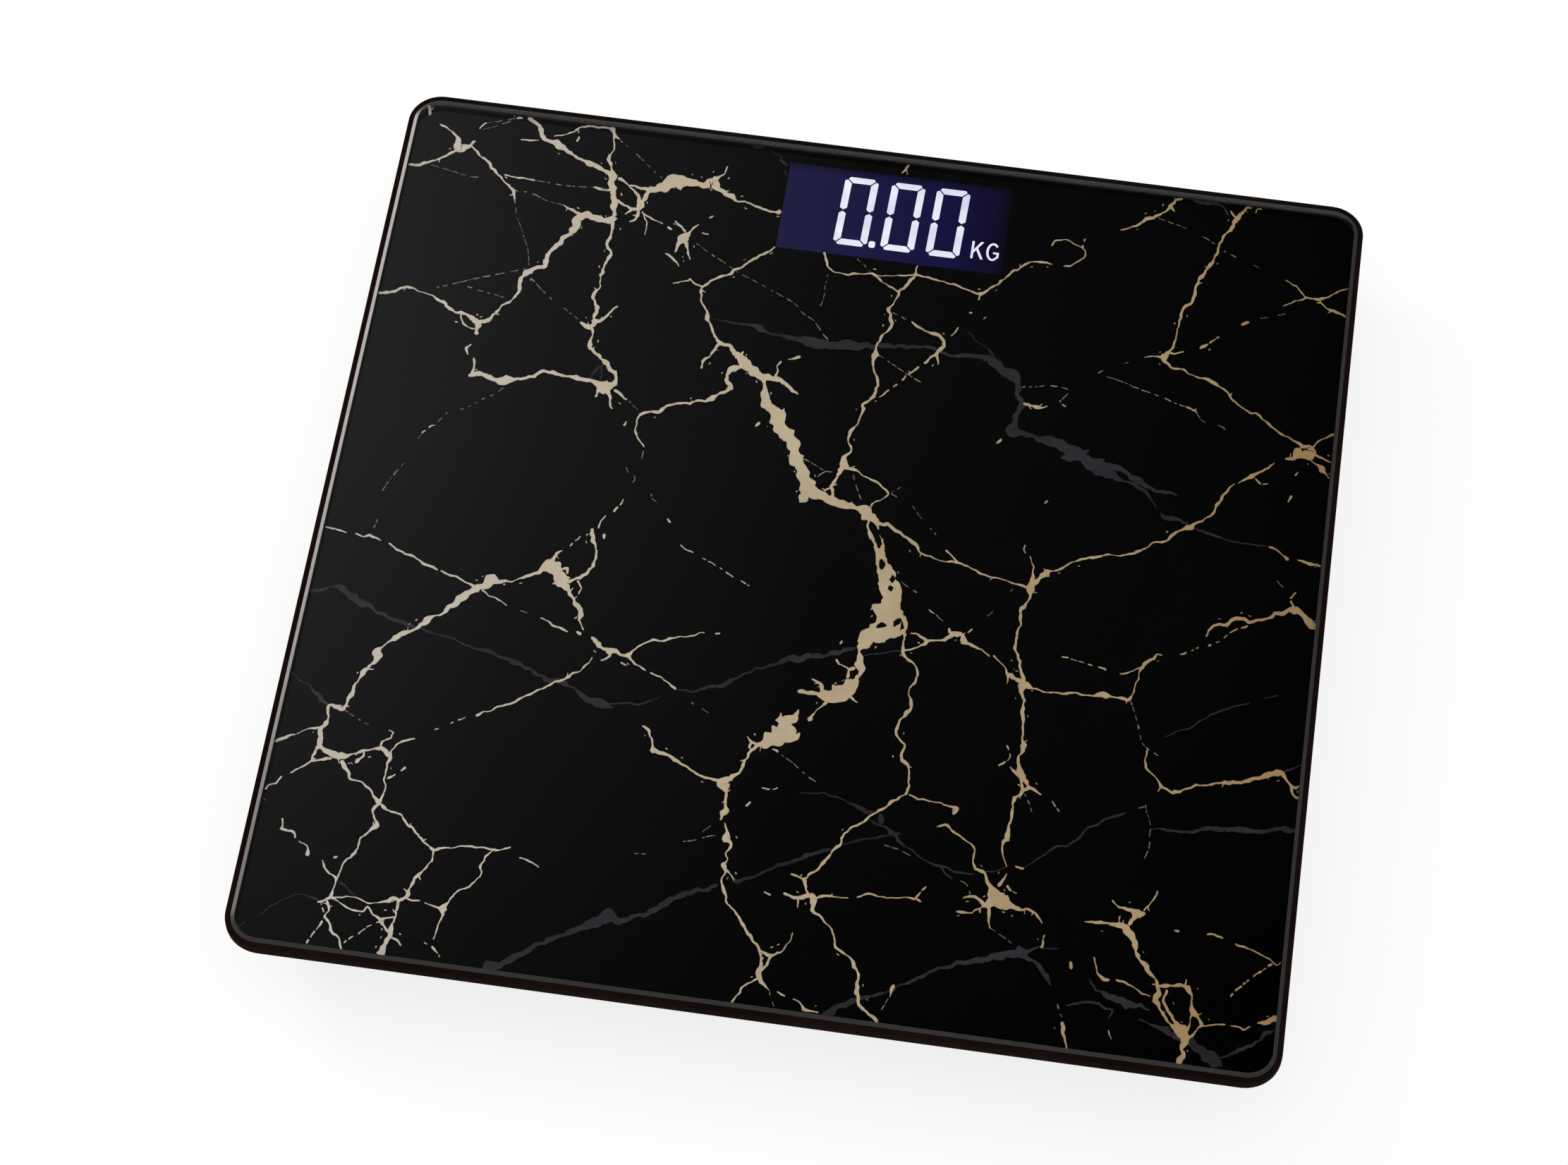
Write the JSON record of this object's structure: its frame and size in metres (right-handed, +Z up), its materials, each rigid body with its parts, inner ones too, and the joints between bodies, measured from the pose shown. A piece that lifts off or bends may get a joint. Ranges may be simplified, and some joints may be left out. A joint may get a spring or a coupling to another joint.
{
  "type": "digital bathroom scale",
  "caption": "Square floor scale: printed glass platform in a thin dark rim, display near one edge, on sprung weighing feet.",
  "frame": {"origin": "on the floor, below the middle of the platform", "axes": "+Z up, +Y from the user's side towards the display, +X to the right"},
  "size_m": [0.28, 0.28, 0.024],
  "materials": {
    "platform_glass": "polished",
    "marble_print": "printed black marble with gold veins",
    "foam_tape": "foam",
    "tray_plastic": "fine texture",
    "foot_plastic": "satin",
    "foot_rubber": "matt",
    "button_plastic": "satin",
    "battery_can": "gloss",
    "contact_steel": "nickel plated",
    "sensor_steel": "zinc plated",
    "screw_steel": "zinc plated",
    "sealant": "matt",
    "wire_sleeve": "satin",
    "circuit_board": "satin",
    "epoxy": "gloss",
    "backlight_acrylic": "frosted",
    "lcd_glass": "dark negative display",
    "frame_plastic": "satin",
    "zebra_rubber": "matt"
  },
  "bodies": {
    "base": {"glass_platform": "platform_glass", "marble_print": "marble_print", "bonding_tape": "foam_tape", "lcd_gasket": "foam_tape", "base_tray": "tray_plastic", "foot_ring_front_left": "foot_plastic", "foot_ring_front_right": "foot_plastic", "foot_ring_rear_left": "foot_plastic", "foot_ring_rear_right": "foot_plastic", "unit_switch": "button_plastic", "battery_cell_front": "battery_can", "battery_cell_rear": "battery_can", "contact_bridge": "contact_steel", "contact_positive": "contact_steel", "contact_negative": "contact_steel", "load_cell_front_left": "sensor_steel", "load_cell_front_right": "sensor_steel", "load_cell_rear_left": "sensor_steel", "load_cell_rear_right": "sensor_steel", "board_screws": "screw_steel", "ring_screws": "screw_steel", "strain_gauges": "sealant", "battery_leads": "wire_sleeve", "sensor_lead_front_left": "wire_sleeve", "sensor_lead_front_right": "wire_sleeve", "sensor_lead_rear_left": "wire_sleeve", "sensor_lead_rear_right": "wire_sleeve", "main_board": "circuit_board", "controller_chip": "epoxy", "backlight_panel": "backlight_acrylic", "backlight_led": "backlight_acrylic", "lcd_cell": "lcd_glass", "display_frame": "frame_plastic", "zebra_strip": "zebra_rubber"},
    "foot_front_left": {"foot_front_left": "foot_plastic", "foot_pad_front_left": "foot_rubber"},
    "foot_front_right": {"foot_front_right": "foot_plastic", "foot_pad_front_right": "foot_rubber"},
    "foot_rear_left": {"foot_rear_left": "foot_plastic", "foot_pad_rear_left": "foot_rubber"},
    "foot_rear_right": {"foot_rear_right": "foot_plastic", "foot_pad_rear_right": "foot_rubber"},
    "battery_door": {"battery_door": "tray_plastic"},
    "unit_button": {"unit_button": "button_plastic", "switch_plunger": "button_plastic"}
  },
  "joints": [
    {"name": "foot_front_left_slide", "type": "slide", "parent": "base", "child": "foot_front_left", "axis": [0, 0, 1], "range_m": [-0.0004, 0.0006], "stiffness_N_per_m": 30000, "deforming": ["load_cell_front_left"]},
    {"name": "foot_front_right_slide", "type": "slide", "parent": "base", "child": "foot_front_right", "axis": [0, 0, 1], "range_m": [-0.0004, 0.0006], "stiffness_N_per_m": 30000, "deforming": ["load_cell_front_right"]},
    {"name": "foot_rear_left_slide", "type": "slide", "parent": "base", "child": "foot_rear_left", "axis": [0, 0, 1], "range_m": [-0.0004, 0.0006], "stiffness_N_per_m": 30000, "deforming": ["load_cell_rear_left"]},
    {"name": "foot_rear_right_slide", "type": "slide", "parent": "base", "child": "foot_rear_right", "axis": [0, 0, 1], "range_m": [-0.0004, 0.0006], "stiffness_N_per_m": 30000, "deforming": ["load_cell_rear_right"]},
    {"name": "battery_door_hinge", "type": "hinge", "parent": "base", "child": "battery_door", "pos_m": [0, 0.06035, 0.00505], "axis": [1, 0, 0], "range_deg": [0, 60]},
    {"name": "unit_button_press", "type": "slide", "parent": "base", "child": "unit_button", "axis": [0, 0, 1], "range_m": [0, 0.0004], "stiffness_N_per_m": 1500, "springref_m": -0.0003}
  ]
}
